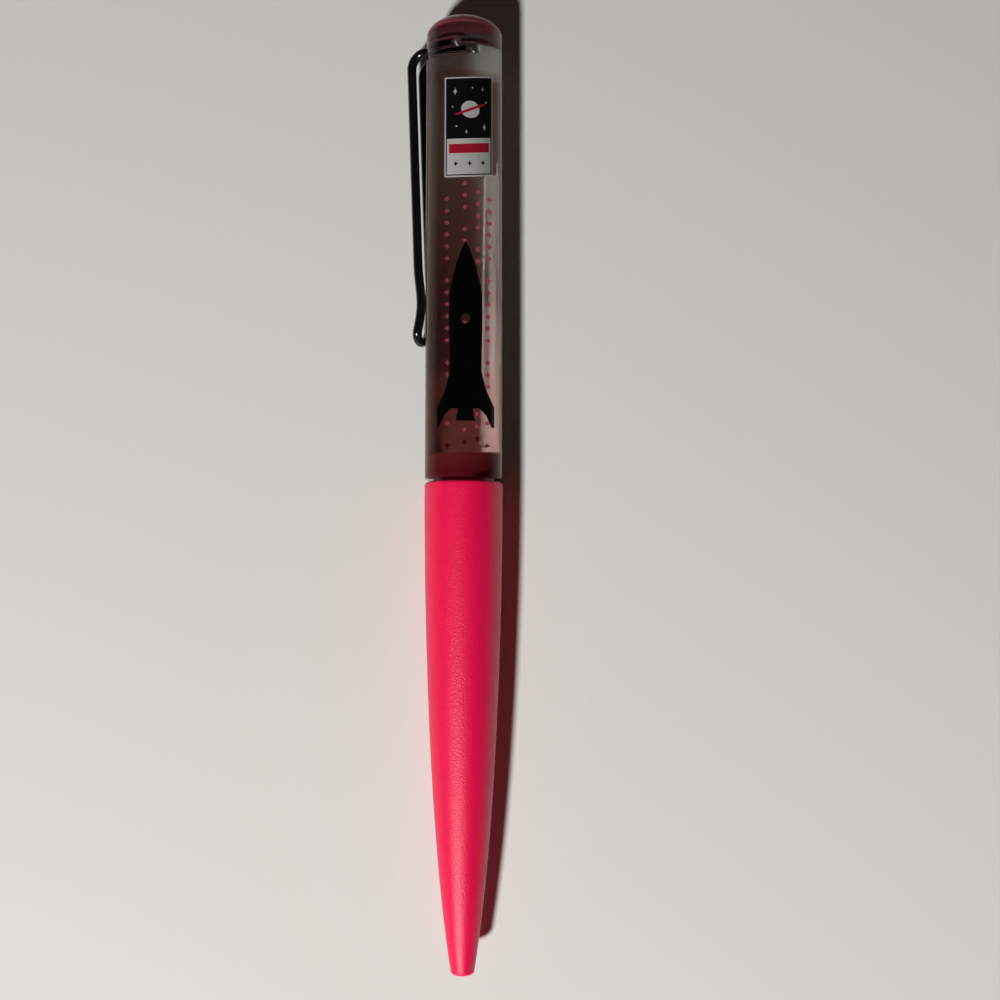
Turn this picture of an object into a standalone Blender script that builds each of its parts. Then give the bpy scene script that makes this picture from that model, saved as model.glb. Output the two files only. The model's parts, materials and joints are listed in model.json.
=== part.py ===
"""Twist-action ballpoint pen with an oil-filled viewing tube and a drifting figure.

The pen lies on a table: its axis runs along +Y from the nose to the dome, +Z is up, and the wire
clip at -X keeps it from rolling. Every piece is drawn in the pen's own frame, where Z runs along
the axis towards the dome and Z = 0 is the middle of the groove between the two halves.
"""
import math

import bmesh
import bpy
from mathutils import Matrix, Vector

MM = 0.001

# Clear upper half
TUBE_DIAMETER = 11.6 * MM
TUBE_WALL = 1.1 * MM
TUBE_LENGTH = 67.8 * MM
TUBE_EDGE = 0.4 * MM
DOME_HEIGHT = 2.7 * MM
GROOVE = 0.4 * MM
CLIP_PLUG_LENGTH = 4.2 * MM
CHAMBER_PLUG_LENGTH = 3.6 * MM
PLUG_SOCKET_DEPTH = 2.8 * MM

# Printed films and the drifting figure
FILM_THICKNESS = 0.15 * MM
FILM_HALF_ANGLE = math.radians(75)
LABEL_LENGTH = 15.4 * MM
LABEL_DROP = 8.1 * MM
LABEL_HALF_ANGLE = math.radians(45)
LABEL_OFF_CENTRE = math.radians(10.8)
FIGURE_LENGTH = 28.4 * MM
FIGURE_WIDTH = 3.7 * MM
FIGURE_THICKNESS = 0.4 * MM
FIGURE_RISE = 4.4 * MM
PORTHOLE_WIDTH = 0.7 * MM
PORTHOLE_LENGTH = 1.5 * MM
PORTHOLE_HEIGHT = 0.58

# Wire clip
WIRE_DIAMETER = 1.4 * MM
CLIP_SPACING = 3.5 * MM
CLIP_STAND_OFF = 2.45 * MM
CLIP_BEND_RADIUS = 2.35 * MM
CLIP_LEG_DROP = 1.7 * MM
CLIP_LEG_END = 0.2 * MM
CLIP_LENGTH = 46.4 * MM
CLIP_TAIL = 5.4 * MM
CLIP_RUN_IN = 6.0 * MM
CLIP_LEAN_IN = 1.3 * MM
CLIP_FLARE = 1.0 * MM
CLIP_FLARE_CURL = 1.5

# Pink lower half
BARREL_LENGTH = 70.8 * MM
BARREL_WALL = 1.1 * MM
BARREL_EDGE = 0.5 * MM
NOSE_DIAMETER = 3.3 * MM
NOSE_EDGE = 0.5 * MM
NOSE_EDGE_SHARE = 0.7
NOSE_HOLE_LENGTH = 4.5 * MM
TAPER_SHARE = 0.8
NECK_DEPTH = 0.7 * MM

# Twist mechanism
STROKE = 4.5 * MM
TWIST = math.pi
RING_THICKNESS = 0.9 * MM
COLLAR_THICKNESS = 1.0 * MM
SLEEVE_WALL = 1.0 * MM
STEM_WALL = 1.3 * MM
JOURNAL_LENGTH = 5.5 * MM
SPIGOT_DIAMETER = 4.8 * MM
STOP_HEIGHT = 1.0 * MM
LUG_LENGTH = 2.4 * MM
LUG_HALF_ANGLE = math.radians(14)
RAMP_RUN_OUT = math.radians(22.5)
SLEEVE_RUN_OUT = 1.0 * MM
CUP_LENGTH = 6.0 * MM
CUP_WALL = 1.1 * MM
CUP_FLOOR = 0.8 * MM

# Refill, spring and writing point
REFILL_DIAMETER = 2.4 * MM
REFILL_WALL = 0.3 * MM
TIP_SHANK_DIAMETER = 2.2 * MM
TIP_NECK_DIAMETER = 1.7 * MM
TIP_RIM_WALL = 0.1 * MM
TIP_CONE_LENGTH = 3.2 * MM
TIP_SPIGOT_LENGTH = 3.0 * MM
TIP_RECESS = 0.8 * MM
BALL_DIAMETER = 1.0 * MM
BALL_SHOWS = 0.3 * MM
SPRING_WIRE = 0.4 * MM
SPRING_LENGTH = 13.5 * MM
SPRING_TURNS = 9
REFILL_COLLAR_LENGTH = 1.0 * MM

# Clearances
BOND_GAP = 0.1 * MM
PRESS_GAP = 0.1 * MM
RUNNING_GAP = 0.1 * MM
END_GAP = 0.3 * MM
CAM_GAP = 0.12 * MM
HOLE_GAP = 0.18 * MM
CLIP_GAP = 0.12 * MM
BALL_GAP = 0.03 * MM
FIGURE_GAP = 0.3 * MM

# Faces round a turned piece, and steps along a curve
SHELL_SIDES = 48
INNER_SIDES = 24
WIRE_HOLE_SIDES = 16
EDGE_STEPS = 3
DOME_STEPS = 9
TAPER_STEPS = 16
HOLLOW_STEPS = 6
RAMP_STEPS = 24
LUG_STEPS = 4
FILM_STEPS = 20
LABEL_STEPS = 10
BEND_STEPS = 8
LOOP_STEPS = 10
NOSE_CONE_STEPS = 8
SPRING_TURN_STEPS = 9
BALL_SOCKET_STEPS = 6
BALL_SIDES = 12
BALL_RINGS = 8
MERGE_DISTANCE = 1e-7
CORNER_ANGLE = math.radians(35)
EDGE_LEAN = 15

# Radii that follow from the sizes above
tube_radius = TUBE_DIAMETER / 2
bore_radius = tube_radius - TUBE_WALL
plug_radius = bore_radius - BOND_GAP
barrel_radius = tube_radius
nose_radius = NOSE_DIAMETER / 2
wire_radius = WIRE_DIAMETER / 2
spigot_radius = SPIGOT_DIAMETER / 2
refill_radius = REFILL_DIAMETER / 2
film_radius = bore_radius - BOND_GAP
tip_shank_radius = TIP_SHANK_DIAMETER / 2
tip_neck_radius = TIP_NECK_DIAMETER / 2
ball_radius = BALL_DIAMETER / 2
ball_socket = ball_radius + BALL_GAP
spring_radius = refill_radius + 2 * RUNNING_GAP + SPRING_WIRE

# Heights along the pen's axis, from the dome down to the nose
tube_bottom = GROOVE / 2
tube_top = tube_bottom + TUBE_LENGTH
dome_top = tube_top + DOME_HEIGHT
clip_plug_bottom = tube_top - CLIP_PLUG_LENGTH
chamber_bottom = tube_bottom + CHAMBER_PLUG_LENGTH
mouth = -GROOVE / 2
nose_end = mouth - BARREL_LENGTH
neck_bottom = mouth - NECK_DEPTH
ring_top = neck_bottom - END_GAP
ring_bottom = ring_top - RING_THICKNESS
collar_top = ring_bottom - RUNNING_GAP
collar_bottom = collar_top - COLLAR_THICKNESS
sleeve_top = collar_bottom - RUNNING_GAP
ramp_top = sleeve_top - JOURNAL_LENGTH
ramp_rise = STROKE / TWIST
stem_end = ramp_top - ramp_rise * (TWIST + RAMP_RUN_OUT) - STOP_HEIGHT
lug_bottom = ramp_top - CAM_GAP - LUG_LENGTH
sleeve_bottom = lug_bottom - STROKE - SLEEVE_RUN_OUT
cup_top = stem_end - END_GAP
cup_bottom = cup_top - CUP_LENGTH
refill_top = cup_top - CUP_FLOOR - PRESS_GAP
tip_end = nose_end + TIP_RECESS
rim_end = tip_end + BALL_SHOWS
ball_centre = tip_end + ball_radius
nose_hole_top = nose_end + NOSE_HOLE_LENGTH
tip_step = nose_hole_top + STROKE + END_GAP


def taper_radius(z):
    """Outer radius of the lower half: a long ogive that falls away faster near the nose."""
    run = (mouth - z) / BARREL_LENGTH
    slim = TAPER_SHARE * run**2 + (1 - TAPER_SHARE) * run**6
    return barrel_radius - (barrel_radius - nose_radius) * slim


def height_at_radius(radius):
    """Height where the taper has this outer radius, found by halving."""
    low, high = nose_end, mouth
    while high - low > MERGE_DISTANCE:
        middle = (low + high) / 2
        if taper_radius(middle) < radius:
            low = middle
        else:
            high = middle
    return low


# The spring seats where the hollow has narrowed to it
spring_seat = height_at_radius(spring_radius + 2 * RUNNING_GAP + BARREL_WALL)
collar_seat = spring_seat + SPRING_LENGTH + PRESS_GAP
refill_bottom = spring_seat + STROKE + END_GAP

# Radii of the mechanism, worked inwards from the barrel's bore
sleeve_radius = taper_radius(sleeve_bottom) - BARREL_WALL - PRESS_GAP
journal_radius = sleeve_radius - SLEEVE_WALL - RUNNING_GAP
stem_bore = journal_radius - STEM_WALL
collar_radius = sleeve_radius - SLEEVE_WALL / 2
plunger_radius = stem_bore - RUNNING_GAP
lug_radius = sleeve_radius - SLEEVE_WALL / 4
cup_radius = refill_radius + PRESS_GAP + CUP_WALL
nose_bore = tip_shank_radius + RUNNING_GAP
nose_hole = tip_neck_radius + RUNNING_GAP
nose_edge = min(NOSE_EDGE, NOSE_EDGE_SHARE * (nose_radius - nose_hole))

# How the pen lies: on a flat of the tube and on the lower wire of the clip
axis_height = tube_radius * math.cos(math.pi / SHELL_SIDES)
clip_offset = tube_radius + CLIP_STAND_OFF
clip_half_spacing = CLIP_SPACING / 2
clip_reach = math.hypot(clip_offset, clip_half_spacing)
clip_droop = math.asin((axis_height - wire_radius) / clip_reach) - math.atan2(clip_half_spacing, clip_offset)
left_side = clip_offset * math.cos(clip_droop) + clip_half_spacing * math.sin(clip_droop) + wire_radius
axis_x = (left_side - tube_radius * math.cos(math.pi / SHELL_SIDES)) / 2
axis_y = -(dome_top + nose_end) / 2
clip_leg_height = tube_top - CLIP_LEG_DROP
clip_pivot_offset = (tube_radius + CLIP_LEG_END) / 2


def clear_scene():
    for thing in list(bpy.data.objects):
        bpy.data.objects.remove(thing, do_unlink=True)


def finish(name, colour, roughness, metallic=0.0, transmission=0.0):
    """A Principled material in one colour."""
    material = bpy.data.materials.new(name)
    material.use_nodes = True
    shader = material.node_tree.nodes["Principled BSDF"]
    shader.inputs["Base Color"].default_value = (*colour, 1.0)
    shader.inputs["Roughness"].default_value = roughness
    shader.inputs["Metallic"].default_value = metallic
    shader.inputs["Transmission Weight"].default_value = transmission
    return material


def axis_empty(name, place=(0, 0, 0), turn=0.0, parent=None):
    """An empty that carries pieces; turn is about the pen's axis."""
    empty = bpy.data.objects.new(name, None)
    bpy.context.collection.objects.link(empty)
    empty.location = place
    empty.rotation_euler = (0, 0, turn)
    empty.parent = parent
    return empty


def add_piece(name, data, material, parent):
    piece = bpy.data.objects.new(name, data)
    bpy.context.collection.objects.link(piece)
    piece.parent = parent
    if material:
        data.materials.append(material)
    return piece


def mesh_piece(name, bm, material, parent):
    """Close off a bmesh as a named piece with outward faces, smooth but for its corners."""
    bmesh.ops.remove_doubles(bm, verts=bm.verts, dist=MERGE_DISTANCE)
    bmesh.ops.dissolve_degenerate(bm, edges=bm.edges, dist=MERGE_DISTANCE)
    bmesh.ops.recalc_face_normals(bm, faces=bm.faces)
    mesh = bpy.data.meshes.new(name)
    bm.to_mesh(mesh)
    bm.free()
    mesh.shade_smooth()
    mesh.set_sharp_from_angle(angle=CORNER_ANGLE)
    return add_piece(name, mesh, material, parent)


def turned(name, outline, sides, material, parent):
    """Spin an outline of (radius, height) points about the axis, with a flat facing straight down."""
    bm = bmesh.new()
    half_facet = Matrix.Rotation(math.pi / sides, 3, "Z")
    points = [bm.verts.new(half_facet @ Vector((radius, 0, height))) for radius, height in outline]
    following = points[1:]
    if outline[0][0] > 0 or outline[-1][0] > 0:
        following = points[1:] + points[:1]
    edges = [bm.edges.new(pair) for pair in zip(points, following)]
    bmesh.ops.spin(bm, geom=points + edges, cent=(0, 0, 0), axis=(0, 0, 1), angle=2 * math.pi,
                   steps=sides, use_merge=True)
    return mesh_piece(name, bm, material, parent)


def rounded(centre_radius, centre_height, radius, start, end, steps):
    """Points of an arc in an outline; angles in degrees, 0 outwards and 90 up."""
    angles = [math.radians(start + (end - start) * i / steps) for i in range(steps + 1)]
    return [(centre_radius + radius * math.cos(a), centre_height + radius * math.sin(a)) for a in angles]


def cutter(name, bm, parent):
    """A tool body that cuts other pieces and isn't a piece itself."""
    tool = mesh_piece(name, bm, None, parent)
    tool.hide_render = True
    tool.display_type = "WIRE"
    return tool


def boolean(piece, tool, operation):
    step = piece.modifiers.new(tool.name, "BOOLEAN")
    step.operation = operation
    step.solver = "EXACT"
    step.object = tool


def ring_sector(bm, start, end, inner, outer, bottom, top_at, steps):
    """Part of a ring between two angles; top_at gives the height of its top at each angle."""
    slices = []
    for i in range(steps + 1):
        angle = start + (end - start) * i / steps
        corners = [(inner, bottom), (outer, bottom), (outer, top_at(angle)), (inner, top_at(angle))]
        slices.append([bm.verts.new((r * math.cos(angle), r * math.sin(angle), z)) for r, z in corners])
    for here, after in zip(slices, slices[1:]):
        for k in range(4):
            bm.faces.new((here[k], here[(k + 1) % 4], after[(k + 1) % 4], after[k]))
    bm.faces.new(slices[0])
    bm.faces.new(slices[-1])


def film_piece(name, middle, half_angle, bottom, top, steps, material):
    """A thin sheet that lines the tube's bore."""
    bm = bmesh.new()
    ring_sector(bm, middle - half_angle, middle + half_angle, film_radius - FILM_THICKNESS, film_radius,
                bottom, lambda angle: top, steps)
    return mesh_piece(name, bm, material, pen)


def ramp_height(angle):
    return ramp_top - ramp_rise * angle


def wire_tube(name, points, radius, resolution, material, parent):
    """A round wire along a line of points, with closed ends."""
    curve = bpy.data.curves.new(name, "CURVE")
    curve.dimensions = "3D"
    curve.bevel_depth = radius
    curve.bevel_resolution = resolution
    curve.use_fill_caps = True
    spline = curve.splines.new("POLY")
    spline.points.add(len(points) - 1)
    for knot, point in zip(spline.points, points):
        knot.co = (*point, 1.0)
        knot.radius = 1.0
    spline.use_smooth = True
    return add_piece(name, curve, material, parent)


def eased(start, end, start_slope, end_slope, steps):
    """Points on a cubic between two (drop, offset) places with a slope at each."""
    span = end[0] - start[0]
    points = []
    for i in range(1, steps + 1):
        t = i / steps
        offset = ((2 * t**3 - 3 * t**2 + 1) * start[1] + (3 * t**2 - 2 * t**3) * end[1]
                  + (t**3 - 2 * t**2 + t) * span * start_slope + (t**3 - t**2) * span * end_slope)
        points.append((start[0] + span * t, offset))
    return points


def clip_route():
    """Centre line of the clip's wire, as (offset from the axis, across, height)."""
    bend_start = clip_offset - CLIP_BEND_RADIUS
    bend_end = CLIP_LEG_DROP + CLIP_BEND_RADIUS
    side = [(CLIP_LEG_DROP, CLIP_LEG_END)]
    for i in range(BEND_STEPS + 1):
        angle = math.pi / 2 * i / BEND_STEPS
        side.append((bend_end - CLIP_BEND_RADIUS * math.cos(angle),
                     bend_start + CLIP_BEND_RADIUS * math.sin(angle)))
    touch = tube_radius + wire_radius + CLIP_GAP
    waist = (CLIP_LENGTH - CLIP_TAIL, math.sqrt(touch**2 - clip_half_spacing**2))
    lean = (waist[0] - CLIP_RUN_IN, clip_offset - CLIP_LEAN_IN)
    lean_slope = -CLIP_LEAN_IN / (lean[0] - bend_end)
    tip = (CLIP_LENGTH, waist[1] + CLIP_FLARE)
    tip_slope = CLIP_FLARE_CURL * CLIP_FLARE / CLIP_TAIL
    loop_start = CLIP_LENGTH - clip_half_spacing
    side.append(lean)
    side += eased(lean, waist, lean_slope, 0.0, BEND_STEPS // 2)
    side += [place for place in eased(waist, tip, 0.0, tip_slope, BEND_STEPS) if place[0] < loop_start]
    half = [(offset, clip_half_spacing, tube_top - drop) for drop, offset in side]
    loop = []
    for i in range(LOOP_STEPS + 1):
        angle = math.pi * i / LOOP_STEPS
        drop = loop_start + clip_half_spacing * math.sin(angle)
        rise = tip[1] - tip_slope * (CLIP_LENGTH - drop)
        loop.append((rise, clip_half_spacing * math.cos(angle), tube_top - drop))
    return half + loop + [(offset, -across, height) for offset, across, height in reversed(half)]


def spring_route():
    """Centre line of the spring: even turns between its two seats."""
    radius = spring_radius - SPRING_WIRE / 2
    low = spring_seat + PRESS_GAP + SPRING_WIRE / 2
    high = collar_seat - PRESS_GAP - SPRING_WIRE / 2
    steps = SPRING_TURNS * SPRING_TURN_STEPS
    route = []
    for i in range(steps + 1):
        angle = 2 * math.pi * i / SPRING_TURN_STEPS
        route.append((radius * math.cos(angle), radius * math.sin(angle), low + (high - low) * i / steps))
    return route


def least_gap(points, diameter, apart):
    """Smallest clear distance between points of a tube that are at least so many points apart."""
    places = [Vector(point) for point in points]
    return min((a - b).length - diameter for i, a in enumerate(places) for b in places[i + apart:])


def rocket_outline():
    """Right half of the figure's outline from the nose down, as (across, up)."""
    fin = FIGURE_WIDTH / 2
    body = 0.62 * fin
    shoulder, fin_top, skirt = 0.64, 0.30, 0.10
    cone = []
    for i in range(NOSE_CONE_STEPS + 1):
        share = i / NOSE_CONE_STEPS
        cone.append((body * math.sin(math.pi / 2 * share) ** 0.85, 1 - (1 - shoulder) * share))
    fins = [(0.95 * body, fin_top), (0.76 * fin, 0.20), (fin, 0.11), (fin, 0.0), (0.80 * fin, 0.065)]
    nozzle = [(0.88 * body, skirt), (0.45 * body, skirt), (0.60 * body, 0.035)]
    return [(across, up * FIGURE_LENGTH) for across, up in cone + fins + nozzle]


clear_scene()

CLEAR = finish("clear_acrylic", (0.92, 0.92, 0.90), 0.05, transmission=1.0)
CLEAR_PLUG = finish("clear_plug", (0.90, 0.88, 0.87), 0.06, transmission=1.0)
ROSE = finish("rose_acrylic", (0.75, 0.20, 0.24), 0.05, transmission=0.9)
FILM = finish("printed_film", (0.85, 0.55, 0.60), 0.2, transmission=0.8)
LABEL = finish("white_label", (0.85, 0.85, 0.83), 0.4)
FIGURE = finish("black_figure", (0.01, 0.01, 0.01), 0.5)
WIRE = finish("black_wire", (0.012, 0.012, 0.013), 0.2, metallic=0.3)
PINK = finish("pink_plastic", (0.80, 0.016, 0.085), 0.4)
TINTED_PLUG = finish("tinted_plug", (0.45, 0.02, 0.05), 0.08, transmission=0.8)
STEM = finish("black_acetal", (0.02, 0.02, 0.021), 0.4)
SLEEVE = finish("grey_acetal", (0.45, 0.45, 0.46), 0.4)
FOLLOWER = finish("natural_acetal", (0.72, 0.70, 0.64), 0.45)
RING = finish("ring_steel", (0.60, 0.60, 0.62), 0.3, metallic=1.0)
SPRING = finish("spring_steel", (0.55, 0.55, 0.57), 0.25, metallic=1.0)
INK_TUBE = finish("refill_brass", (0.78, 0.57, 0.22), 0.3, metallic=1.0)
COLLAR = finish("collar_brass", (0.74, 0.54, 0.22), 0.35, metallic=1.0)
TIP = finish("nickel_tip", (0.66, 0.63, 0.58), 0.25, metallic=1.0)
BALL = finish("carbide_ball", (0.30, 0.30, 0.31), 0.15, metallic=1.0)

# The pen's frame lies down: its Z runs along the table's +Y
pen = axis_empty("pen_axis", (axis_x, axis_y, axis_height))
pen.rotation_euler = (-math.pi / 2, 0, 0)
DOWN = math.pi / 2
UP = -math.pi / 2


def build_viewing_tube():
    edge = rounded(tube_radius - TUBE_EDGE, tube_bottom + TUBE_EDGE, TUBE_EDGE, 0, -90, EDGE_STEPS)
    outline = [(bore_radius, tube_top), (tube_radius, tube_top), *edge, (bore_radius, tube_bottom)]
    tube = turned("clear_tube", outline, SHELL_SIDES, CLEAR, pen)
    plug = turned("clip_plug", [(0, tube_top), (plug_radius, tube_top), (plug_radius, clip_plug_bottom),
                                (0, clip_plug_bottom)], SHELL_SIDES, CLEAR_PLUG, pen)
    dome_base = tube_top + BOND_GAP
    dome_rise = dome_top - dome_base
    angles = [math.pi / 2 * (1 - i / DOME_STEPS) for i in range(1, DOME_STEPS + 1)]
    arc = [(tube_radius * math.cos(a), dome_base + dome_rise * math.sin(a)) for a in angles]
    turned("dome_cap", [(0, dome_top), *arc, (0, dome_base)], SHELL_SIDES, ROSE, pen)
    holes = clip_leg_holes()
    boolean(tube, holes, "DIFFERENCE")
    boolean(plug, holes, "DIFFERENCE")


def clip_leg_holes():
    """Two round holes from the side of the tube, one for each leg of the clip."""
    bm = bmesh.new()
    start = CLIP_LEG_END - END_GAP
    length = clip_offset - start
    for side in (-1, 1):
        place = Matrix.Translation((start + length / 2, side * clip_half_spacing, clip_leg_height))
        bmesh.ops.create_cone(bm, cap_ends=True, segments=WIRE_HOLE_SIDES, radius1=wire_radius + HOLE_GAP,
                              radius2=wire_radius + HOLE_GAP, depth=length,
                              matrix=place @ Matrix.Rotation(math.pi / 2, 4, "Y"))
    carrier = axis_empty("clip_hole_axis", (0, 0, 0), math.pi - clip_droop, pen)
    return cutter("clip_leg_holes", bm, carrier)


def build_clip():
    towards_clip = math.pi - clip_droop
    place = (clip_pivot_offset * math.cos(towards_clip), clip_pivot_offset * math.sin(towards_clip),
             clip_leg_height)
    pivot = axis_empty("clip_pivot", place, towards_clip, pen)
    route = [(offset - clip_pivot_offset, across, height - clip_leg_height)
             for offset, across, height in clip_route()]
    wire_tube("pocket_clip", route, wire_radius, 2, WIRE, pivot)


def build_films():
    film_piece("scene_film", DOWN, FILM_HALF_ANGLE, chamber_bottom + END_GAP, clip_plug_bottom - END_GAP,
               FILM_STEPS, FILM)
    label_top = tube_top - LABEL_DROP
    film_piece("label_panel", UP + LABEL_OFF_CENTRE, LABEL_HALF_ANGLE, label_top - LABEL_LENGTH, label_top,
               LABEL_STEPS, LABEL)


def build_figure():
    """A flat rocket that lies on the back film, its edges just clear of the curve."""
    floor = math.sqrt((film_radius - FILM_THICKNESS - FIGURE_GAP) ** 2 - (FIGURE_WIDTH / 2) ** 2)
    foot = chamber_bottom + FIGURE_RISE
    slide = axis_empty("figure_slide", (0, floor - FIGURE_THICKNESS, foot), 0.0, pen)
    half = rocket_outline()
    bm = bmesh.new()
    loop = half + [(-across, up) for across, up in reversed(half) if across > 0]
    face = bm.faces.new([bm.verts.new((across, 0, up)) for across, up in loop])
    rise = bmesh.ops.extrude_face_region(bm, geom=[face])
    moved = [item for item in rise["geom"] if isinstance(item, bmesh.types.BMVert)]
    bmesh.ops.translate(bm, verts=moved, vec=(0, FIGURE_THICKNESS, 0))
    figure = mesh_piece("float_figure", bm, FIGURE, slide)
    hole = bmesh.new()
    place = Matrix.Translation((0, 0, PORTHOLE_HEIGHT * FIGURE_LENGTH))
    stretch = Matrix.Diagonal((PORTHOLE_WIDTH, PORTHOLE_LENGTH, 3 * FIGURE_THICKNESS, 1.0))
    bmesh.ops.create_cone(hole, cap_ends=True, segments=WIRE_HOLE_SIDES, radius1=0.5, radius2=0.5, depth=1.0,
                          matrix=place @ Matrix.Rotation(math.pi / 2, 4, "X") @ stretch)
    boolean(figure, cutter("porthole", hole, slide), "DIFFERENCE")


def build_chamber_plug():
    socket_radius = spigot_radius + PRESS_GAP
    socket_top = neck_bottom + PLUG_SOCKET_DEPTH
    outline = [(0, chamber_bottom), (plug_radius, chamber_bottom), (plug_radius, neck_bottom),
               (socket_radius, neck_bottom), (socket_radius, socket_top), (0, socket_top)]
    turned("chamber_plug", outline, SHELL_SIDES, TINTED_PLUG, pen)


def build_stem():
    spigot_top = neck_bottom + PLUG_SOCKET_DEPTH - END_GAP
    outline = [(0, spigot_top), (spigot_radius, spigot_top), (spigot_radius, collar_top),
               (collar_radius, collar_top), (collar_radius, collar_bottom), (journal_radius, collar_bottom),
               (journal_radius, stem_end), (stem_bore, stem_end), (stem_bore, collar_bottom),
               (0, collar_bottom)]
    stem = turned("cam_stem", outline, SHELL_SIDES, STEM, pen)
    notch = bmesh.new()
    below = stem_end - STOP_HEIGHT
    ring_sector(notch, -RAMP_RUN_OUT, TWIST + RAMP_RUN_OUT, stem_bore / 2, sleeve_radius, below,
                ramp_height, RAMP_STEPS)
    boolean(stem, cutter("ramp_notch", notch, pen), "DIFFERENCE")


def spread(start, end, steps):
    """Evenly spaced heights from start to end."""
    return [start + (end - start) * i / steps for i in range(steps + 1)]


def build_barrel(barrel):
    """The pink shell: a smooth taper outside, and inside a bore, a tapering hollow and the nose hole."""
    neck_bore = plug_radius + 2 * RUNNING_GAP
    bore = sleeve_radius + PRESS_GAP
    taper_start = mouth - BARREL_EDGE
    taper_end = nose_end + nose_edge
    mouth_curve = rounded(taper_radius(taper_start) - BARREL_EDGE, taper_start, BARREL_EDGE, 90, EDGE_LEAN,
                          EDGE_STEPS)
    outside = [(taper_radius(z), z) for z in spread(taper_start, taper_end, TAPER_STEPS)]
    nose_curve = rounded(taper_radius(taper_end) - nose_edge, taper_end, nose_edge, -EDGE_LEAN, -90,
                         EDGE_STEPS)
    hollow = [(taper_radius(z) - BARREL_WALL, z) for z in spread(spring_seat, sleeve_bottom, HOLLOW_STEPS)]
    inside = [(nose_hole, nose_end), (nose_hole, nose_hole_top), (nose_bore, nose_hole_top),
              (nose_bore, spring_seat), *hollow, (bore, ring_top), (neck_bore, ring_top), (neck_bore, mouth)]
    turned("lower_barrel", [*mouth_curve, *outside, *nose_curve, *inside], SHELL_SIDES, PINK, barrel)


def build_bearing(barrel):
    ring_bore = spigot_radius + 2 * RUNNING_GAP
    turned("retaining_ring", [(ring_bore, ring_top), (sleeve_radius, ring_top), (sleeve_radius, ring_bottom),
                              (ring_bore, ring_bottom)], INNER_SIDES, RING, barrel)
    inner = sleeve_radius - SLEEVE_WALL
    sleeve = turned("guide_sleeve", [(inner, sleeve_top), (sleeve_radius, sleeve_top),
                                     (sleeve_radius, sleeve_bottom), (inner, sleeve_bottom)],
                    SHELL_SIDES, SLEEVE, barrel)
    half_width = lug_radius * math.sin(LUG_HALF_ANGLE) + RUNNING_GAP
    top = ramp_height(-LUG_HALF_ANGLE) + END_GAP
    bottom = sleeve_bottom - END_GAP
    size = (sleeve_radius, 2 * half_width, top - bottom)
    bm = bmesh.new()
    place = Matrix.Translation((inner + sleeve_radius / 4, 0, (top + bottom) / 2))
    bmesh.ops.create_cube(bm, size=1.0, matrix=place @ Matrix.Diagonal((*size, 1.0)))
    boolean(sleeve, cutter("keyway", bm, barrel), "DIFFERENCE")


def build_follower(refill):
    plunger_top = collar_bottom - END_GAP
    socket = refill_radius + PRESS_GAP
    socket_top = cup_top - CUP_FLOOR
    outline = [(0, plunger_top), (plunger_radius, plunger_top), (plunger_radius, cup_top),
               (cup_radius, cup_top), (cup_radius, cup_bottom), (socket, cup_bottom),
               (socket, socket_top), (0, socket_top)]
    follower = turned("cam_follower", outline, INNER_SIDES, FOLLOWER, refill)
    lug = bmesh.new()
    ring_sector(lug, -LUG_HALF_ANGLE, LUG_HALF_ANGLE, plunger_radius / 2, lug_radius, lug_bottom,
                lambda angle: ramp_height(angle) - CAM_GAP, LUG_STEPS)
    boolean(follower, cutter("ramp_lug", lug, refill), "UNION")


def build_refill(refill):
    inner = refill_radius - REFILL_WALL
    turned("refill_tube", [(inner, refill_top), (refill_radius, refill_top), (refill_radius, refill_bottom),
                           (inner, refill_bottom)], INNER_SIDES, INK_TUBE, refill)
    turned("refill_collar", [(refill_radius + PRESS_GAP, collar_seat + REFILL_COLLAR_LENGTH),
                             (spring_radius, collar_seat + REFILL_COLLAR_LENGTH),
                             (spring_radius, collar_seat), (refill_radius + PRESS_GAP, collar_seat)],
           INNER_SIDES, COLLAR, refill)
    spigot = inner - PRESS_GAP
    shank_top = refill_bottom - PRESS_GAP
    mouth_angle = math.asin((ball_centre - rim_end) / ball_socket)
    angles = spread(-mouth_angle, math.pi / 2, BALL_SOCKET_STEPS)
    cup = [(ball_socket * math.cos(a), ball_centre + ball_socket * math.sin(a)) for a in angles[:-1]]
    outline = [(0, shank_top + TIP_SPIGOT_LENGTH), (spigot, shank_top + TIP_SPIGOT_LENGTH),
               (spigot, shank_top), (tip_shank_radius, shank_top), (tip_shank_radius, tip_step),
               (tip_neck_radius, tip_step), (tip_neck_radius, rim_end + TIP_CONE_LENGTH),
               (cup[0][0] + TIP_RIM_WALL, rim_end), *cup, (0, ball_centre + ball_socket)]
    turned("refill_tip", outline, INNER_SIDES, TIP, refill)
    pivot = axis_empty("ball_pivot", (0, 0, ball_centre), 0.0, refill)
    bm = bmesh.new()
    bmesh.ops.create_uvsphere(bm, u_segments=BALL_SIDES, v_segments=BALL_RINGS, radius=ball_radius)
    mesh_piece("writing_ball", bm, BALL, pivot)


def build_spring(barrel):
    route = spring_route()
    gap = least_gap(route, SPRING_WIRE, SPRING_TURN_STEPS // 2)
    print("least gap between the spring's turns, mm:", round(gap / MM, 3))
    wire_tube("return_spring", route, SPRING_WIRE / 2, 1, SPRING, barrel)


build_viewing_tube()
build_clip()
build_films()
build_figure()
build_chamber_plug()
build_stem()
barrel_axis = axis_empty("barrel_twist_axis", parent=pen)
build_barrel(barrel_axis)
build_bearing(barrel_axis)
build_spring(barrel_axis)
refill_axis = axis_empty("refill_feed_axis", parent=barrel_axis)
build_follower(refill_axis)
build_refill(refill_axis)
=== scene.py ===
import json
import math

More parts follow.
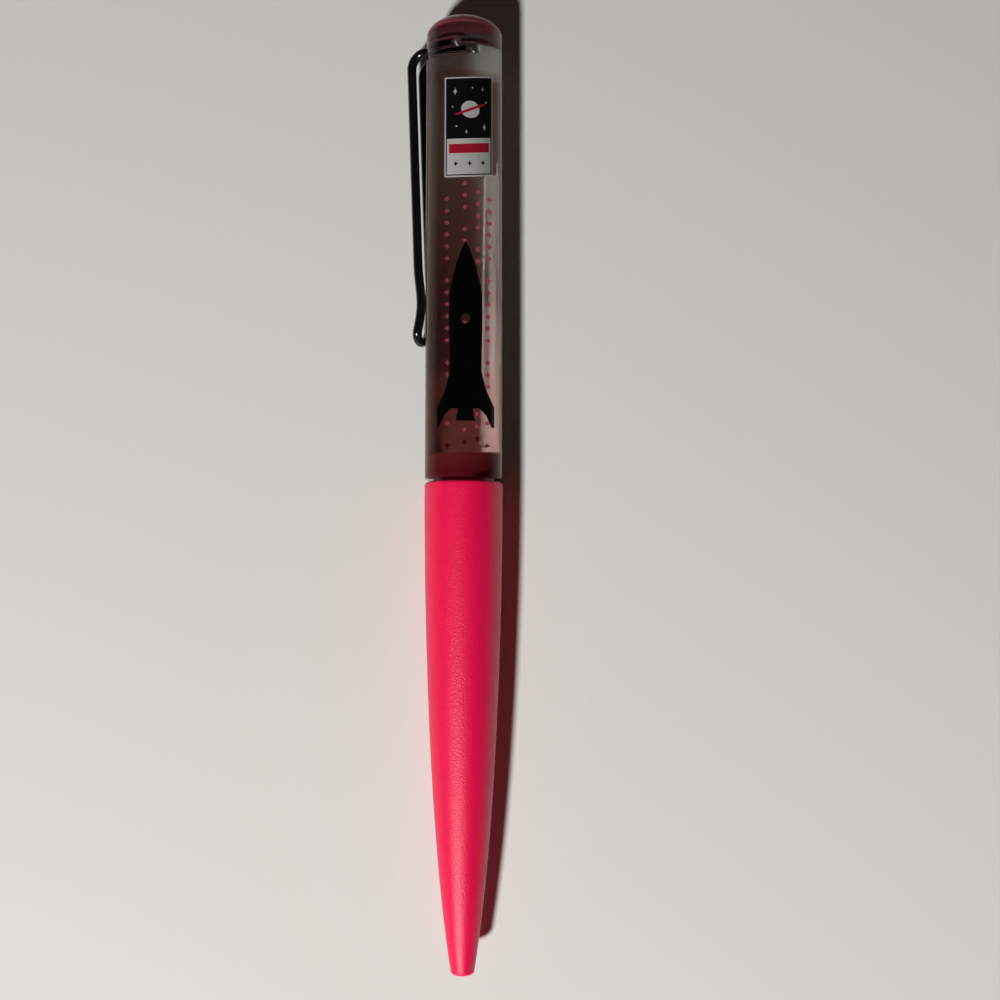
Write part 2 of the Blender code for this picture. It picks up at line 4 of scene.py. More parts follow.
import bmesh
import bpy
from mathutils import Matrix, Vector


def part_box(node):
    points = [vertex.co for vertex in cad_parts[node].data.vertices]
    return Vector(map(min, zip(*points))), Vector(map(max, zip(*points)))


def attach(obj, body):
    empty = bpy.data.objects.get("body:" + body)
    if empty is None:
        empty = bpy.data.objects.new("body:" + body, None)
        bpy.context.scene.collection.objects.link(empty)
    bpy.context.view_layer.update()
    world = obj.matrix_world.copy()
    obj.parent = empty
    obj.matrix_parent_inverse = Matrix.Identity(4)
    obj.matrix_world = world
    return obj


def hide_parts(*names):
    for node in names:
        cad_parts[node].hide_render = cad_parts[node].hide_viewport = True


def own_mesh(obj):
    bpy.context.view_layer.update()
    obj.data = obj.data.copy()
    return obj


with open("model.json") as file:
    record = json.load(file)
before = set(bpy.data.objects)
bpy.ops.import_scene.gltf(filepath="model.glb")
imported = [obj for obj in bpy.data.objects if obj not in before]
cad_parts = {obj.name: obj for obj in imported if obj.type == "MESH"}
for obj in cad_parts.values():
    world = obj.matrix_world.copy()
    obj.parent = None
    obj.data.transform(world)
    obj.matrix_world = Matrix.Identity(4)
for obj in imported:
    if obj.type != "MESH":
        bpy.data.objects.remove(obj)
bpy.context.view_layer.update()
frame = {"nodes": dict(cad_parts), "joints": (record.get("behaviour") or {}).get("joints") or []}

# Writing ball: a polished carbide bead, 1 mm across, ground round.
# It sits loose in the socket of the tip and rolls on the paper.
MM = 0.001
joint_place = {joint["name"]: joint.get("pos_m") for joint in frame["joints"]}
pen_x, pen_z = joint_place["barrel_twist"][0], joint_place["barrel_twist"][2]
BALL_RADIUS = 0.5
BALL_STEPS = 24
BALL_SIDES = 48
SMOOTH_TO = math.radians(32)


def grained(name, colour, roughness, metallic=0.0, grain=0.15, run=(1.0, 1.0, 1.0), shade=0.08, wear=0.25,
            relief=0.0):
    """A finish with a fine grain of the given size in mm in its colour, gloss and surface, drawn out by run."""
    material = bpy.data.materials.new(name)
    material.use_nodes = True
    nodes, links = material.node_tree.nodes, material.node_tree.links
    shader = nodes["Principled BSDF"]
    shader.inputs["Metallic"].default_value = metallic
    place = nodes.new("ShaderNodeTexCoord")
    stretch = nodes.new("ShaderNodeMapping")
    stretch.inputs["Scale"].default_value = run
    noise = nodes.new("ShaderNodeTexNoise")
    noise.inputs["Scale"].default_value = 1 / (grain * MM)
    noise.inputs["Detail"].default_value = 3.0
    links.new(place.outputs["Object"], stretch.inputs["Vector"])
    links.new(stretch.outputs["Vector"], noise.inputs["Vector"])
    tint = nodes.new("ShaderNodeMix")
    tint.data_type = "RGBA"
    tint.inputs[6].default_value = (*[part * (1 - shade) for part in colour], 1.0)
    tint.inputs[7].default_value = (*[min(1.0, part * (1 + shade)) for part in colour], 1.0)
    links.new(noise.outputs["Fac"], tint.inputs[0])
    links.new(tint.outputs[2], shader.inputs["Base Color"])
    gloss = nodes.new("ShaderNodeMapRange")
    gloss.inputs["From Min"].default_value = 0.3
    gloss.inputs["From Max"].default_value = 0.7
    gloss.inputs["To Min"].default_value = roughness * (1 - wear)
    gloss.inputs["To Max"].default_value = roughness * (1 + wear)
    links.new(noise.outputs["Fac"], gloss.inputs["Value"])
    links.new(gloss.outputs["Result"], shader.inputs["Roughness"])
    if relief:
        bump = nodes.new("ShaderNodeBump")
        bump.inputs["Strength"].default_value = 1.0
        bump.inputs["Distance"].default_value = relief * MM
        links.new(noise.outputs["Fac"], bump.inputs["Height"])
        links.new(bump.outputs["Normal"], shader.inputs["Normal"])
    return material


def turn_outline(work, outline, sides, zones=()):
    """Spin (radius, place along the pen) points in mm about the pen's axis; zones number each stretch's finish."""
    rings = []
    for radius, along in outline:
        count = sides if radius > 0 else 1
        turns = [2 * math.pi * k / sides for k in range(count)]
        rings.append([work.verts.new((pen_x + radius * MM * math.sin(turn), along * MM,
                                      pen_z + radius * MM * math.cos(turn))) for turn in turns])
    following = rings[1:] + (rings[:1] if outline[0][0] > 0 else [])
    for number, (here, after) in enumerate(zip(rings, following)):
        for k in range(sides):
            corners = [here[k % len(here)], here[(k + 1) % len(here)],
                       after[(k + 1) % len(after)], after[k % len(after)]]
            face = work.faces.new(list(dict.fromkeys(corners)))
            face.material_index = zones[number] if zones else 0


def made_piece(name, work, finishes, body):
    """Close off a mesh as a named piece, smooth but for its corners, that rides on a body."""
    bmesh.ops.recalc_face_normals(work, faces=work.faces)
    mesh = bpy.data.meshes.new(name)
    work.to_mesh(mesh)
    work.free()
    mesh.shade_smooth()
    mesh.set_sharp_from_angle(angle=SMOOTH_TO)
    for material in finishes:
        mesh.materials.append(material)
    piece = bpy.data.objects.new(name, mesh)
    bpy.context.collection.objects.link(piece)
    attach(piece, body)
    return piece


def arc(centre_radius, centre_along, radius, start, end, steps):
    """Points of a rounded edge in an outline; angles in degrees, 0 outwards and 90 towards the dome."""
    angles = [math.radians(start + (end - start) * k / steps) for k in range(steps + 1)]
    return [(centre_radius + radius * math.cos(a), centre_along + radius * math.sin(a)) for a in angles]


ball_along = joint_place["ball_roll"][1] / MM
work = bmesh.new()
half_circle = arc(0, ball_along, BALL_RADIUS, 90, -90, BALL_STEPS)
half_circle[0], half_circle[-1] = (0, ball_along + BALL_RADIUS), (0, ball_along - BALL_RADIUS)
turn_outline(work, half_circle, BALL_SIDES)
carbide = grained("polished_carbide", (0.30, 0.30, 0.31), 0.14, metallic=1.0, grain=0.05, shade=0.12)
ball = made_piece("ball", work, [carbide], "ball")
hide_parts("writing_ball")

# Writing tip: nickel silver, turned to a shank, a neck and a cone.
# Its rim is spun over the ball, and its spigot is pressed in the ink tube.
TIP_SIDES = 64
TIP_EDGE = 0.06
SPIGOT_RADIUS, SHANK_RADIUS, NECK_RADIUS, RIM_RADIUS = 0.8, 1.1, 0.85, 0.591
SPIGOT_LENGTH, SHANK_LENGTH, CONE_LENGTH = 3.0, 6.13, 3.2
SOCKET_RADIUS = 0.53
SOCKET_LIP = -22.2
SOCKET_STEPS = 14
CONE_STEP = 0.02
RIM_ROLL = ((0.05, 0.45), (0.005, 0.12), (-0.03, 0.0))
tip_low, tip_high = (corner.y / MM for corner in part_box("refill_tip"))
shank_top = tip_high - SPIGOT_LENGTH
shank_end = shank_top - SHANK_LENGTH
cone_top = tip_low + CONE_LENGTH
socket = arc(0, ball_along, SOCKET_RADIUS, SOCKET_LIP, 90, SOCKET_STEPS)[:-1]
tip_outline = [
    (0, tip_high), (SPIGOT_RADIUS - TIP_EDGE, tip_high), (SPIGOT_RADIUS, tip_high - TIP_EDGE),
    (SPIGOT_RADIUS, shank_top), (SHANK_RADIUS - TIP_EDGE, shank_top), (SHANK_RADIUS, shank_top - TIP_EDGE),
    (SHANK_RADIUS, shank_end + TIP_EDGE), (SHANK_RADIUS - TIP_EDGE, shank_end), (NECK_RADIUS, shank_end),
    (NECK_RADIUS, cone_top + TIP_EDGE), (NECK_RADIUS - CONE_STEP, cone_top - TIP_EDGE),
    *[(RIM_RADIUS + out, tip_low + up) for out, up in RIM_ROLL],
    *socket, (0, ball_along + SOCKET_RADIUS)]
work = bmesh.new()
turn_outline(work, tip_outline, TIP_SIDES)
nickel_silver = grained("turned_nickel_silver", (0.66, 0.63, 0.58), 0.22, metallic=1.0, grain=0.25,
                        run=(0.4, 3.0, 0.4), shade=0.1, relief=0.004)
tip = made_piece("tip", work, [nickel_silver], "refill")
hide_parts("refill_tip")

# Ink tube and its collar: drawn brass tube, with a turned brass ring crimped on it.
# The collar is the upper seat of the return spring. They keep their solids.
drawn_brass = grained("drawn_brass", (0.78, 0.57, 0.22), 0.28, metallic=1.0, grain=0.3, run=(1.0, 0.06, 1.0),
                      shade=0.1, relief=0.004)
turned_brass = grained("turned_brass", (0.74, 0.54, 0.22), 0.32, metallic=1.0, grain=0.2, run=(0.3, 3.0, 0.3),
                       shade=0.1, relief=0.004)


def dress(node, material):
    """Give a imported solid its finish."""
    mesh = frame["nodes"][node].data
    mesh.materials.clear()
    mesh.materials.append(material)


dress("refill_tube", drawn_brass)
dress("refill_collar", turned_brass)

# Return spring: spring-steel wire wound in nine turns, with a closed turn at each end.
# It stands between the seat in the nose and the refill's collar, and shortens as the point comes out.
SPRING_WIRE = 0.4
SPRING_COIL = 1.6
SPRING_TURNS = 9
CLOSED_TURNS = 0.8
CLOSED_RISE = 0.42
TURN_STEPS = 30
SPRING_SIDES = 12
SPRING_SEAT = -60.124
CUT_SHARE = 0.86
spring_low, spring_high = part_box("return_spring")


def draw_wire(work, route, radius, sides, bare=0.0):
    """A round wire along a route of points in mm, with its cut ends dressed; the last bare mm take finish 1."""
    points = [Vector(point) for point in route]
    lengths = [0.0]
    for here, after in zip(points, points[1:]):
        lengths.append(lengths[-1] + (after - here).length)
    side = None
    rings = []
    for k, point in enumerate(points):
        ahead = (points[min(k + 1, len(points) - 1)] - points[max(k - 1, 0)]).normalized()
        if side is None:
            side = ahead.orthogonal().normalized()
        side = (side - ahead * side.dot(ahead)).normalized()
        up = ahead.cross(side)
        turns = [2 * math.pi * j / sides for j in range(sides)]
        end = k in (0, len(points) - 1)
        reach = radius * (CUT_SHARE if end else 1.0)
        rings.append([work.verts.new((point + reach * (side * math.cos(a) + up * math.sin(a))) * MM)
                      for a in turns])
    for k, (here, after) in enumerate(zip(rings, rings[1:])):
        middle = (lengths[k] + lengths[k + 1]) / 2
        for j in range(sides):
            face = work.faces.new((here[j], here[(j + 1) % sides], after[(j + 1) % sides], after[j]))
            face.material_index = 1 if min(middle, lengths[-1] - middle) < bare else 0
    for ring in (rings[0], rings[-1]):
        work.faces.new(ring).material_index = 1 if bare else 0


def spring_route():
    """Centre line of the spring, with its end turns closed up."""
    low, high = spring_low.y / MM + SPRING_WIRE / 2, spring_high.y / MM - SPRING_WIRE / 2
    open_turns = SPRING_TURNS - 2 * CLOSED_TURNS
    route = []
    for k in range(SPRING_TURNS * TURN_STEPS + 1):
        turn = k / TURN_STEPS
        from_end = min(turn, SPRING_TURNS - turn)
        if from_end < CLOSED_TURNS:
            rise = CLOSED_RISE * from_end
            along = low + rise if turn < SPRING_TURNS / 2 else high - rise
        else:
            start = low + CLOSED_RISE * CLOSED_TURNS
            end = high - CLOSED_RISE * CLOSED_TURNS
            along = start + (end - start) * (turn - CLOSED_TURNS) / open_turns
        angle = 2 * math.pi * turn
        route.append((pen_x / MM + SPRING_COIL * math.cos(angle), along,
                      pen_z / MM + SPRING_COIL * math.sin(angle)))
    return route


work = bmesh.new()
draw_wire(work, spring_route(), SPRING_WIRE / 2, SPRING_SIDES)
spring_steel = grained("spring_steel", (0.55, 0.55, 0.57), 0.24, metallic=1.0, grain=0.1, shade=0.15)
spring = made_piece("spring", work, [spring_steel], "barrel")
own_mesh(spring)
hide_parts("return_spring")

# Twist works: moulded acetal follower, sleeve and stem, and a pressed steel ring that keeps the halves together.
# The follower's lug rides the stem's ramp and slides in the sleeve's keyway. They keep their solids.
dress("cam_follower", grained("natural_acetal", (0.72, 0.70, 0.64), 0.42, grain=0.4, shade=0.05, relief=0.003))
dress("guide_sleeve", grained("grey_acetal", (0.45, 0.45, 0.46), 0.42, grain=0.4, shade=0.06, relief=0.003))
dress("cam_stem", grained("black_acetal", (0.02, 0.02, 0.021), 0.38, grain=0.4, shade=0.15, relief=0.003))
dress("retaining_ring", grained("pressed_steel", (0.60, 0.60, 0.62), 0.3, metallic=1.0, grain=0.2, shade=0.1,
                                relief=0.003))

# Lower barrel: one moulding in bright satin pink, a long taper with a rounded nose and a rolled mouth.
# It is hollow for the works, and turns on the neck of the upper half.
SHELL_SIDES = 192
BARREL_LENGTH = 70.8
NOSE_RADIUS = 1.65
TAPER_SHARE = 0.8
MOUTH_EDGE, NOSE_EDGE = 0.5, 0.49
EDGE_LEAN = 8
EDGE_STEPS = 10
TAPER_STEPS, BORE_STEPS = 96, 24
BARREL_WALL = 1.1
WORKS_BORE, NECK_BORE = 4.517, 4.8
NOSE_HOLE, NOSE_BORE = 0.95, 1.2
NOSE_HOLE_LENGTH = 4.5
pen_radius = pen_z / MM
nose_end, mouth = (corner.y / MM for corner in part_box("lower_barrel"))
sleeve_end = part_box("guide_sleeve")[0].y / MM
ring_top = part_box("retaining_ring")[1].y / MM


def taper(along):
    """Outer radius of the barrel at a place along the pen, in mm."""
    run = (mouth - along) / BARREL_LENGTH
    slim = TAPER_SHARE * run**2 + (1 - TAPER_SHARE) * run**6
    return pen_radius - (pen_radius - NOSE_RADIUS) * slim


def evenly(start, end, steps):
    """Values from start to end in equal steps, both ends among them."""
    return [start + (end - start) * k / steps for k in range(steps + 1)]


def tint_gloss(material, colour):
    """Colour what a finish mirrors face on."""
    material.node_tree.nodes["Principled BSDF"].inputs["Specular Tint"].default_value = (*colour, 1.0)


mouth_start, nose_start = mouth - MOUTH_EDGE, nose_end + NOSE_EDGE
barrel_outline = [
    *arc(taper(mouth_start) - MOUTH_EDGE, mouth_start, MOUTH_EDGE, 90, EDGE_LEAN, EDGE_STEPS),
    *[(taper(along), along) for along in evenly(mouth_start, nose_start, TAPER_STEPS)],
    *arc(taper(nose_start) - NOSE_EDGE, nose_start, NOSE_EDGE, -EDGE_LEAN, -90, EDGE_STEPS),
    (NOSE_HOLE, nose_end), (NOSE_HOLE, nose_end + NOSE_HOLE_LENGTH), (NOSE_BORE, nose_end + NOSE_HOLE_LENGTH),
    (NOSE_BORE, SPRING_SEAT),
    *[(taper(along) - BARREL_WALL, along) for along in evenly(SPRING_SEAT, sleeve_end, BORE_STEPS)],
    (WORKS_BORE, ring_top), (NECK_BORE, ring_top), (NECK_BORE, mouth)]
work = bmesh.new()
turn_outline(work, barrel_outline, SHELL_SIDES)
satin_pink = grained("satin_pink", (0.95, 0.004, 0.078), 0.37, grain=0.19, shade=0.02, wear=0.15, relief=0.068)
tint_gloss(satin_pink, (1.0, 0.85, 0.88))
barrel = made_piece("pink_barrel", work, [satin_pink], "barrel")
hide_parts("lower_barrel")

# Viewing tube: clear acrylic tube filled with clear oil and closed at the top by a clear plug.
# Tube, oil and plug bend light alike, so they are one clear body, with two holes for the legs of the clip.
TUBE_EDGE = 0.4
PLUG_RADIUS = 4.6
WIRE_RADIUS = 0.7
LEG_HOLE_RADIUS = 0.88
LEG_DROP = 1.7
LEG_SPACING = 1.75
LEG_END = 0.2
LEG_HOLE_END = -0.1
HOLE_SIDES = 48
DRILL_LEAD, DRILL_OVERRUN = 0.01, 2
TUBE_STEPS = 60
ACRYLIC_BEND = 1.49
tube_low, tube_high = (corner.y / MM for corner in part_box("clear_tube"))
clip_axis = next(joint["axis"] for joint in frame["joints"] if joint["name"] == "clip_flex")
across_clip = Vector((-clip_axis[0], 0, -clip_axis[2]))
towards_clip = Vector((-across_clip.z, 0, across_clip.x))


def clear_finish(name, bend, tint=(1.0, 1.0, 1.0), streak=0.02, clear=1.0):
    """A clear or cloudy moulding with faint lengthwise streaks; bend is its index against its neighbour."""
    material = grained(name, tint, 0.0, grain=0.5, run=(1.0, 0.03, 1.0), shade=streak, wear=0.0)
    shader = material.node_tree.nodes["Principled BSDF"]
    shader.inputs["Transmission Weight"].default_value = clear
    shader.inputs["IOR"].default_value = bend
    for link in list(shader.inputs["Roughness"].links):
        material.node_tree.links.remove(link)
    shader.inputs["Roughness"].default_value = 0.0
    return material


def clip_point(drop, offset, across):
    """A point in mm: drop from the tube's top, offset from its axis towards the clip, and across the clip."""
    axis_point = Vector((pen_x, 0, pen_z)) / MM
    return axis_point + towards_clip * offset + across_clip * across + Vector((0, tube_high - drop, 0))


tube_outline = [
    (0, tube_low), (PLUG_RADIUS, tube_low),
    *arc(pen_radius - TUBE_EDGE, tube_low + TUBE_EDGE, TUBE_EDGE, -90, 0, EDGE_STEPS),
    *[(pen_radius, along) for along in evenly(tube_low + TUBE_EDGE, tube_high, TUBE_STEPS)[1:]], (0, tube_high)]
tube_zones = [1] + [0] * (len(tube_outline) - 3) + [1]
work = bmesh.new()
turn_outline(work, tube_outline, SHELL_SIDES, tube_zones)
clear_acrylic = clear_finish("clear_acrylic", ACRYLIC_BEND, streak=0.08)
tint_gloss(clear_acrylic, (0.22, 0.1, 0.1))
cemented = clear_finish("clear_cement", 1.0)
tube = made_piece("viewing_tube", work, [clear_acrylic, cemented], "upper_barrel")
work = bmesh.new()
for side in (-1, 1):
    start = clip_point(LEG_DROP, LEG_HOLE_END, side * LEG_SPACING)
    end = clip_point(LEG_DROP, pen_radius + DRILL_OVERRUN, side * LEG_SPACING)
    route = [start, start.lerp(end, DRILL_LEAD), end.lerp(start, DRILL_LEAD), end]
    draw_wire(work, route, LEG_HOLE_RADIUS, HOLE_SIDES)
bmesh.ops.recalc_face_normals(work, faces=work.faces)
drill = bpy.data.meshes.new("leg_drill")
work.to_mesh(drill)
work.free()
drill.materials.append(clear_acrylic)
drill_piece = bpy.data.objects.new("leg_drill", drill)
bpy.context.collection.objects.link(drill_piece)
cut = tube.modifiers.new("leg_holes", "BOOLEAN")
cut.operation, cut.solver, cut.object = "DIFFERENCE", "EXACT", drill_piece
bpy.context.view_layer.update()
drilled = bpy.data.meshes.new_from_object(tube.evaluated_get(bpy.context.evaluated_depsgraph_get()))
tube.modifiers.clear()
tube.data = drilled
bpy.data.objects.remove(drill_piece)
tube.data.shade_smooth()
tube.data.set_sharp_from_angle(angle=SMOOTH_TO)
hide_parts("clear_tube", "clip_plug")

# Chamber plug: deep rose clear acrylic, cemented in the bottom of the tube.
# Its end shows as the neck in the groove, and the stem's spigot is pressed in its socket.
NECK_EDGE = 0.15
SOCKET_WALL = 2.5
SOCKET_DEPTH = 2.8
BOND_RADIUS = PLUG_RADIUS - 0.01
BOND_FADE = 2.6
plug_low, plug_high = (corner.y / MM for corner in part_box("chamber_plug"))
plug_outline = [
    (0, plug_high), (BOND_RADIUS, plug_high), (BOND_RADIUS, tube_low),
    (BOND_RADIUS, plug_low + NECK_EDGE), (PLUG_RADIUS - NECK_EDGE, plug_low), (SOCKET_WALL, plug_low),
    (SOCKET_WALL, plug_low + SOCKET_DEPTH), (0, plug_low + SOCKET_DEPTH)]
work = bmesh.new()
turn_outline(work, plug_outline, SHELL_SIDES, [1, 1, 0, 0, 0, 0, 0])


def fade(material, colour, start, end, axis="Y"):
    """Let a finish run into another colour between two places along an axis, in mm."""
    nodes, links = material.node_tree.nodes, material.node_tree.links
    shader = nodes["Principled BSDF"]
    own = shader.inputs["Base Color"].links[0].from_socket
    place = nodes.new("ShaderNodeTexCoord")
    axes = nodes.new("ShaderNodeSeparateXYZ")
    share = nodes.new("ShaderNodeMapRange")
    share.interpolation_type = "SMOOTHSTEP"
    share.inputs["From Min"].default_value = start * MM
    share.inputs["From Max"].default_value = end * MM
    blend = nodes.new("ShaderNodeMix")
    blend.data_type = "RGBA"
    blend.inputs[7].default_value = (*colour, 1.0)
    links.new(place.outputs["Object"], axes.inputs["Vector"])
    links.new(axes.outputs[axis], share.inputs["Value"])
    links.new(share.outputs["Result"], blend.inputs[0])
    links.new(own, blend.inputs[6])
    links.new(blend.outputs[2], shader.inputs["Base Color"])


def rose_depth(material, colour, density):
    """Tint a clear finish through its depth."""
    nodes, links = material.node_tree.nodes, material.node_tree.links
    depth = nodes.new("ShaderNodeVolumeAbsorption")
    depth.inputs["Color"].default_value = (*colour, 1.0)
    depth.inputs["Density"].default_value = density / MM
    output = next(node for node in nodes if node.type == "OUTPUT_MATERIAL")
    links.new(depth.outputs["Volume"], output.inputs["Volume"])
    return material


rose_neck = grained("rose_neck", (0.40, 0.010, 0.028), 0.3, grain=0.3, shade=0.05)
rose_bond = rose_depth(clear_finish("rose_bond", 1.0, (0.25, 0.016, 0.028), clear=0.3), (0.75, 0.06, 0.12), 0.35)
fade(rose_bond, (0.27, 0.036, 0.038), plug_high - BOND_FADE, plug_high)
plug = made_piece("rose_plug", work, [rose_neck, rose_bond], "upper_barrel")
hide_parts("chamber_plug")

# Scene film: a clear sheet that lines the back of the tube, printed in pink with rows of stars and dots.
# The ink lies on its inner face, and the oil holds the sheet against the wall.
FILM_INNER, FILM_OUTER = 4.45, 4.6
FILM_HALF = math.radians(75)
FILM_STEPS, MARK_STEPS = 60, 16
INK_GAP, INK_DEPTH = 0.005, 0.02
film_low, film_high = (corner.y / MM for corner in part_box("scene_film"))


def in_oil(material):
    """Take off the gloss of a finish that lies in the oil, which bends light nearly as the finish does."""
    material.node_tree.nodes["Principled BSDF"].inputs["Specular IOR Level"].default_value = 0.02
    return material


def wrap_patch(work, inner, outer, turns, low, high):
    """A thin curved patch between two radii in mm; low and high give its ends at each turn from straight up."""
    slices = []
    for turn in turns:
        corners = [(inner, low(turn)), (outer, low(turn)), (outer, high(turn)), (inner, high(turn))]
        slices.append([work.verts.new((pen_x + r * MM * math.sin(turn), along * MM, pen_z + r * MM * math.cos(turn)))
                       for r, along in corners])
    for here, after in zip(slices, slices[1:]):
        for k in range(4):
            work.faces.new((here[k], here[(k + 1) % 4], after[(k + 1) % 4], after[k]))
    work.faces.new(slices[0])
    work.faces.new(slices[-1])


work = bmesh.new()
wrap_patch(work, FILM_INNER, FILM_OUTER, evenly(math.pi - FILM_HALF, math.pi + FILM_HALF, FILM_STEPS),
           lambda turn: film_low, lambda turn: film_high)
# The sheet's warm tint, which grows redder towards its lower end, is painted glow: it stands for the warm, red light
# that the pink barrel and plug throw into the tube.
film_painted_glow = clear_finish("film_painted_glow", 1.0, (0.93, 0.56, 0.52), 0.01, clear=0.996)
fade(film_painted_glow, (0.97, 0.86, 0.83), film_low, film_high)
film = made_piece("back_film", work, [film_painted_glow], "upper_barrel")
film.visible_shadow = False
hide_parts("scene_film")


def print_mark(work, radius, turn, along, half_width, half_length, point):
    """One printed mark: point 2 gives a dot, and a value under 1 a four-pointed star."""
    spread = [math.sin(share) for share in evenly(-math.pi / 2, math.pi / 2, MARK_STEPS)][1:-1]

    def half(at):
        """Half the mark's length at a turn, in mm."""
        share = min(0.999, abs(at - turn) * radius / half_width)
        return half_length * (1 - share**point) ** (1 / point)

    wrap_patch(work, radius - INK_DEPTH, radius, [turn + half_width / radius * s for s in spread],
               lambda at: along - half(at), lambda at: along + half(at))


INK_COLUMNS = (-1.2, -0.1, 0.72, 1.35)
FIRST_MARK, COLUMN_STAGGER, PRINT_END = 1.4, 0.55, 46
MARK_PITCH, MARK_BREAK = 1.84, 3.4
FILM_STAR, FILM_DOT = (0.26, 0.52, 0.55), (0.14, 0.3, 2.0)
work = bmesh.new()
for number, across in enumerate(INK_COLUMNS):
    turn = math.pi - math.asin(across / FILM_INNER)
    along = film_low + FIRST_MARK + COLUMN_STAGGER * (number % 3)
    count = 0
    while along < PRINT_END:
        mark = FILM_DOT if (count + number) % 3 == 1 else FILM_STAR
        print_mark(work, FILM_INNER - INK_GAP, turn, along, *mark)
        along += MARK_PITCH if (count + 2 * number) % 6 else MARK_BREAK
        count += 1
pink_ink = in_oil(grained("pink_ink", (0.62, 0.10, 0.16), 0.5, grain=0.1, shade=0.1))
film_print = made_piece("film_print", work, [pink_ink], "upper_barrel")

# Floating figure: a flat rocket cut from black film, with a round porthole.
# It drifts loose in the oil, from one end of the tube to the other.
CONE_STEPS = 32
CONE_FULLNESS = 0.85
BODY_SHARE, SHOULDER = 0.62, 0.64
PORTHOLE_WIDTH, PORTHOLE_LENGTH, PORTHOLE_HEIGHT = 0.7, 1.5, 0.58
PORTHOLE_SIDES = 40
figure_low, figure_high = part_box("float_figure")


def rocket_half(fin, length):
    """Right half of the rocket's outline from its nose down, in mm from its foot."""
    body = BODY_SHARE * fin
    cone = []
    for share in evenly(0, 1, CONE_STEPS):
        cone.append((body * math.sin(math.pi / 2 * share) ** CONE_FULLNESS, 1 - (1 - SHOULDER) * share))
    fins = [(0.95 * body, 0.30), (0.76 * fin, 0.20), (fin, 0.11), (fin, 0.0), (0.80 * fin, 0.065)]
    nozzle = [(0.88 * body, 0.10), (0.45 * body, 0.10), (0.60 * body, 0.035)]
    return [(across, up * length) for across, up in cone + fins + nozzle]


fin = (figure_high.x - figure_low.x) / 2 / MM
figure_length = (figure_high.y - figure_low.y) / MM
half = rocket_half(fin, figure_length)
loop = half + [(-across, up) for across, up in reversed(half) if across > 0]
port_turns = [2 * math.pi * k / PORTHOLE_SIDES for k in range(PORTHOLE_SIDES)]
port = [(PORTHOLE_WIDTH / 2 * math.sin(turn),
         PORTHOLE_HEIGHT * figure_length + PORTHOLE_LENGTH / 2 * math.cos(turn)) for turn in port_turns]
work = bmesh.new()
edges = []
for line in (loop, port):
    ring = [work.verts.new((pen_x + across * MM, figure_low.y + up * MM, figure_low.z)) for across, up in line]
    edges += [work.edges.new((ring[k], ring[(k + 1) % len(ring)])) for k in range(len(ring))]
bmesh.ops.triangle_fill(work, edges=edges, use_beauty=True)
sheet = bmesh.ops.extrude_face_region(work, geom=list(work.faces))
lifted = [item for item in sheet["geom"] if isinstance(item, bmesh.types.BMVert)]
bmesh.ops.translate(work, verts=lifted, vec=(0, 0, figure_high.z - figure_low.z))
black_film = in_oil(grained("black_film", (0.003, 0.003, 0.003), 0.5, grain=0.3, shade=0.3))
figure = made_piece("rocket", work, [black_film], "figure")
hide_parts("float_figure")

# Label: a small white film panel with a printed border and a ringed planet, behind the front of the tube.
# It is printed in black and pink, and sits a little askew.
LABEL_MIDDLE, LABEL_HALF = math.radians(10.8), math.radians(45)
LABEL_SLANT, LABEL_CURL = 0.035, 0.36
LABEL_MARGIN = 0.1
LABEL_STEPS, BAND_STEPS = 40, 30
BORDER_INSET, BORDER_WIDTH = 0.22, 0.16
SKY_DROP = 1.8
ROW_TURNS, ROW_UP, ROW_STAR = (-0.42, 0.0, 0.42), -5.6, (0.42, 0.42, 0.6)
label_low, label_high = (corner.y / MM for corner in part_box("label_panel"))


def askew(turn):
    """How far a line across the label runs up from square, in mm: it slants, and its ends curl up."""
    return LABEL_SLANT * FILM_OUTER * math.sin(turn) + LABEL_CURL * FILM_OUTER * (1 - math.cos(turn))


work = bmesh.new()
label_turns = evenly(LABEL_MIDDLE - LABEL_HALF, LABEL_MIDDLE + LABEL_HALF, LABEL_STEPS)
wrap_patch(work, FILM_INNER, FILM_OUTER, label_turns, lambda turn: label_low + LABEL_MARGIN + askew(turn),
           lambda turn: label_high - LABEL_MARGIN + askew(turn))
white_film = in_oil(grained("white_film", (0.80, 0.80, 0.77), 0.45, grain=0.25, shade=0.03))
label = made_piece("label", work, [white_film], "upper_barrel")
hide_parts("label_panel")
INK_INNER, INK_OUTER = FILM_OUTER + INK_GAP, FILM_OUTER + INK_DEPTH
inset_turn, width_turn = BORDER_INSET / FILM_OUTER, BORDER_WIDTH / FILM_OUTER
first, last = label_turns[0] + inset_turn, label_turns[-1] - inset_turn
bottom, top = label_low + LABEL_MARGIN + BORDER_INSET, label_high - LABEL_MARGIN - BORDER_INSET
work = bmesh.new()
for start, end in ((first, first + width_turn), (last - width_turn, last)):
    wrap_patch(work, INK_INNER, INK_OUTER, evenly(start, end, 2), lambda turn: bottom + askew(turn),
               lambda turn: top + askew(turn))
for edge in (bottom, top - BORDER_WIDTH):
    wrap_patch(work, INK_INNER, INK_OUTER, evenly(first + width_turn, last - width_turn, BAND_STEPS),
               lambda turn: edge + askew(turn), lambda turn: edge + BORDER_WIDTH + askew(turn))
label_middle = (label_low + label_high) / 2
sky_low = label_middle - SKY_DROP
wrap_patch(work, INK_INNER, INK_OUTER, evenly(first + width_turn, last - width_turn, BAND_STEPS),
           lambda turn: sky_low + askew(turn), lambda turn: top - BORDER_WIDTH + askew(turn))
for turn_off in ROW_TURNS:
    turn = LABEL_MIDDLE + turn_off
    print_mark(work, INK_OUTER, turn, label_middle + ROW_UP + askew(turn), *ROW_STAR)
black_ink = in_oil(grained("black_ink", (0.010, 0.010, 0.010), 0.5, grain=0.1, shade=0.2))
label_print = made_piece("label_print", work, [black_ink], "upper_barrel")
